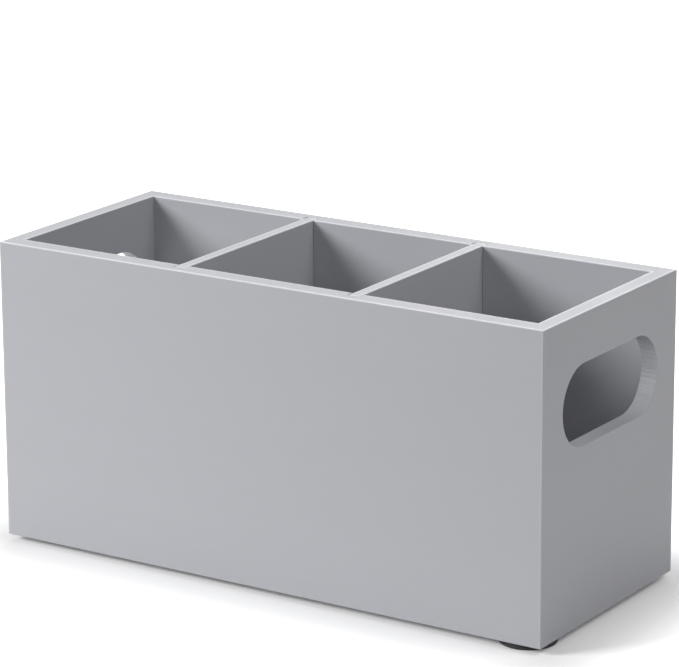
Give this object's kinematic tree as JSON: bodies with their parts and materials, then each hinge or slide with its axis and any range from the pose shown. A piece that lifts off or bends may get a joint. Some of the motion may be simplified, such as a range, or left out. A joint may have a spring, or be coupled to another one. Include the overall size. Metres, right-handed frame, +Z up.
{
  "type": "silverware caddy",
  "caption": "Open rectangular wooden caddy with compartments between lift-out dividers, a rounded hand slot in each end and flat rubber feet, for standing flatware upright.",
  "frame": {"origin": "on the surface the caddy stands on, under the middle of the box", "axes": "+X along the caddy's length to the right, +Y from the front wall to the back wall, +Z up"},
  "size_m": [0.26, 0.1076, 0.1307],
  "materials": {
    "painted_wood": "smooth satin cool-grey paint over wood",
    "foot_rubber": "matte black rubber",
    "adhesive": "pale double-sided foam tape",
    "nail_steel": "bright wire steel"
  },
  "bodies": {
    "caddy": {"front_panel": "painted_wood", "back_panel": "painted_wood", "left_end_panel": "painted_wood", "right_end_panel": "painted_wood", "bottom_panel": "painted_wood", "front_left_foot": "foot_rubber", "front_right_foot": "foot_rubber", "back_left_foot": "foot_rubber", "back_right_foot": "foot_rubber", "front_left_foot_adhesive": "adhesive", "front_right_foot_adhesive": "adhesive", "back_left_foot_adhesive": "adhesive", "back_right_foot_adhesive": "adhesive", "front_left_corner_pins": "nail_steel", "front_right_corner_pins": "nail_steel", "back_left_corner_pins": "nail_steel", "back_right_corner_pins": "nail_steel", "bottom_brads": "nail_steel"},
    "left_divider": {"left_divider": "painted_wood"},
    "right_divider": {"right_divider": "painted_wood"}
  },
  "joints": [
    {"name": "left_divider_lift", "type": "slide", "parent": "caddy", "child": "left_divider", "axis": [0, 0, 1], "range_m": [0, 0.13]},
    {"name": "right_divider_lift", "type": "slide", "parent": "caddy", "child": "right_divider", "axis": [0, 0, 1], "range_m": [0, 0.13]}
  ]
}
